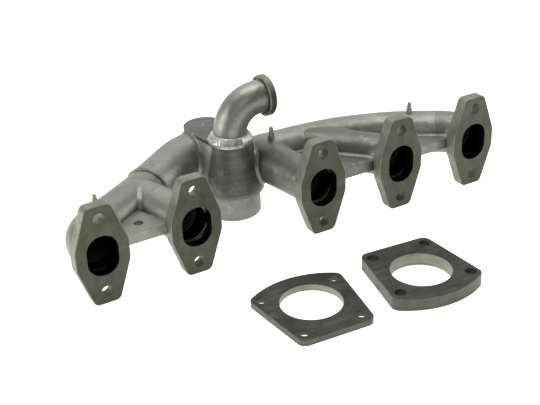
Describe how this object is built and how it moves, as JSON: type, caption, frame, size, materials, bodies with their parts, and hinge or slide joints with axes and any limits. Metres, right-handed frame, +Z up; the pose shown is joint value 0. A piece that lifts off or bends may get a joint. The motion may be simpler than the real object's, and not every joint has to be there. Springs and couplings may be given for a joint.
{
  "type": "exhaust manifold",
  "caption": "Welded tubular exhaust manifold for an in-line engine: port flanges, merging tubes, a tapered collector with outlet stub and take-off elbow, and two loose outlet plates.",
  "frame": {"origin": "centre of the outlet stub's lower mouth, on the surface the part stands on", "axes": "+X along the port row from port 1 to port 5, -Y out of the port faces, +Z up"},
  "size_m": [0.444, 0.3129, 0.131],
  "materials": {
    "coated_tube": "satin grey coated steel",
    "port_steel": "dark bare steel",
    "weld_metal": "bright rough weld",
    "plate_steel": "dark mill steel"
  },
  "bodies": {
    "manifold": {"collector_floor": "coated_tube", "collector_lid": "coated_tube", "collector_shell": "coated_tube", "egr_collar": "weld_metal", "egr_elbow": "coated_tube", "egr_ring_flange": "port_steel", "left_inlet": "coated_tube", "left_log": "coated_tube", "outlet_stub": "coated_tube", "outlet_weld": "weld_metal", "port_flange_1": "port_steel", "port_flange_2": "port_steel", "port_flange_3": "port_steel", "port_flange_4": "port_steel", "port_flange_5": "port_steel", "port_weld_1": "weld_metal", "port_weld_2": "weld_metal", "port_weld_3": "weld_metal", "port_weld_4": "weld_metal", "port_weld_5": "weld_metal", "right_log": "coated_tube", "runner_1": "coated_tube", "runner_2": "coated_tube", "runner_3": "coated_tube", "runner_4": "coated_tube", "runner_5": "coated_tube", "shield_pin_1": "coated_tube", "shield_pin_2": "coated_tube", "shield_pin_3": "coated_tube", "web_plate_1_2": "coated_tube", "web_plate_3_4": "coated_tube", "web_plate_4_5": "coated_tube"},
    "thin_plate": {"thin_outlet_plate": "plate_steel"},
    "thick_plate": {"thick_outlet_plate": "plate_steel"}
  },
  "joints": [
    {"name": "thin_plate_lift", "type": "slide", "parent": "manifold", "child": "thin_plate", "axis": [0, 0, 1], "range_m": [0, 0.1]},
    {"name": "thick_plate_lift", "type": "slide", "parent": "manifold", "child": "thick_plate", "axis": [0, 0, 1], "range_m": [0, 0.1]}
  ]
}
